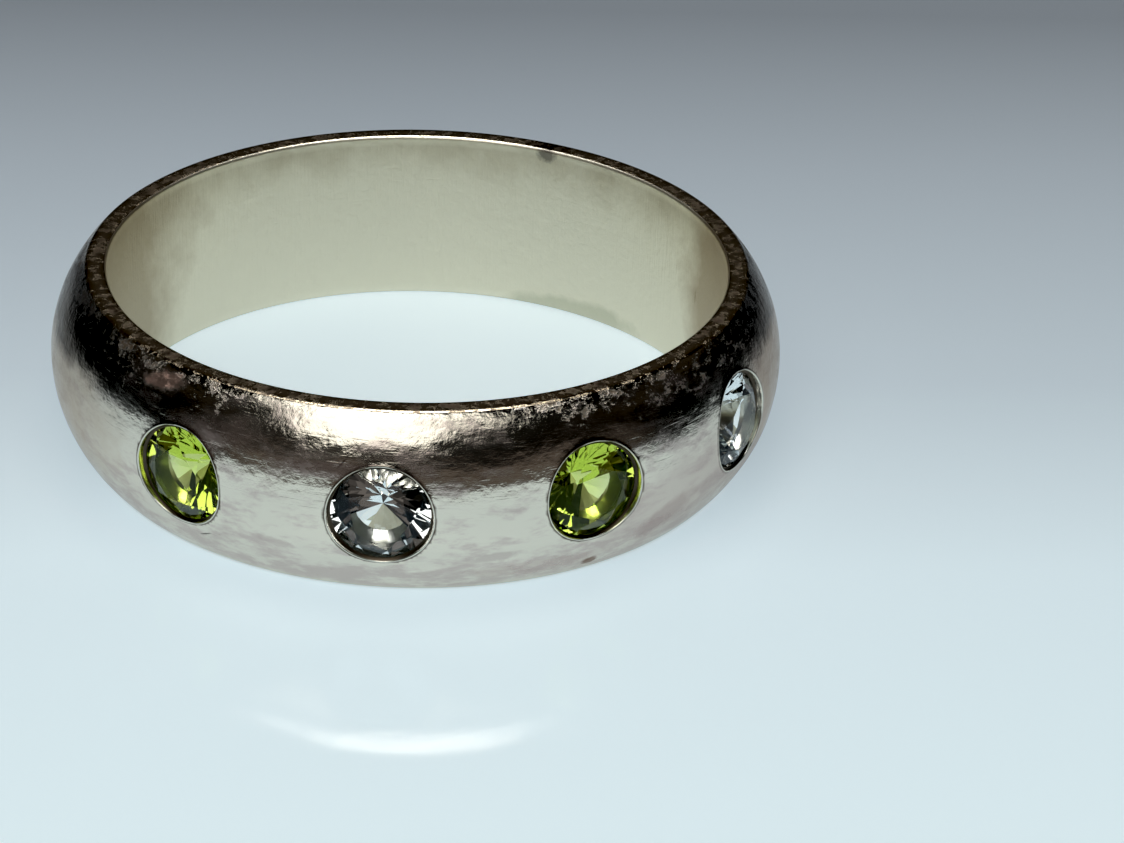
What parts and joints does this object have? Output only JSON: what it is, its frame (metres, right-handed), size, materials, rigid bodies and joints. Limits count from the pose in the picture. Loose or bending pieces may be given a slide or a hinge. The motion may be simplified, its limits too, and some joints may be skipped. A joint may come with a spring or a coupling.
{
  "type": "flush set gypsy ring",
  "caption": "Domed band ring with flat edges and a row of four round brilliants set flush in the metal round the front.",
  "frame": {"origin": "centre of the finger hole, in the plane of the flat edge that the ring lies on", "axes": "+Z along the finger, up from the surface that the ring lies on; -Y through the third stone of the row, the right green one"},
  "size_m": [0.0196, 0.0196, 0.005],
  "materials": {
    "silver": "satin sterling silver, worn and lightly tarnished",
    "green_gem": "cut and polished yellow-green stone, as peridot",
    "clear_gem": "cut and polished colourless stone, as white topaz"
  },
  "bodies": {
    "root": {"band": "silver", "green_stone_left": "green_gem", "clear_stone_left": "clear_gem", "green_stone_right": "green_gem", "clear_stone_right": "clear_gem"}
  },
  "joints": []
}
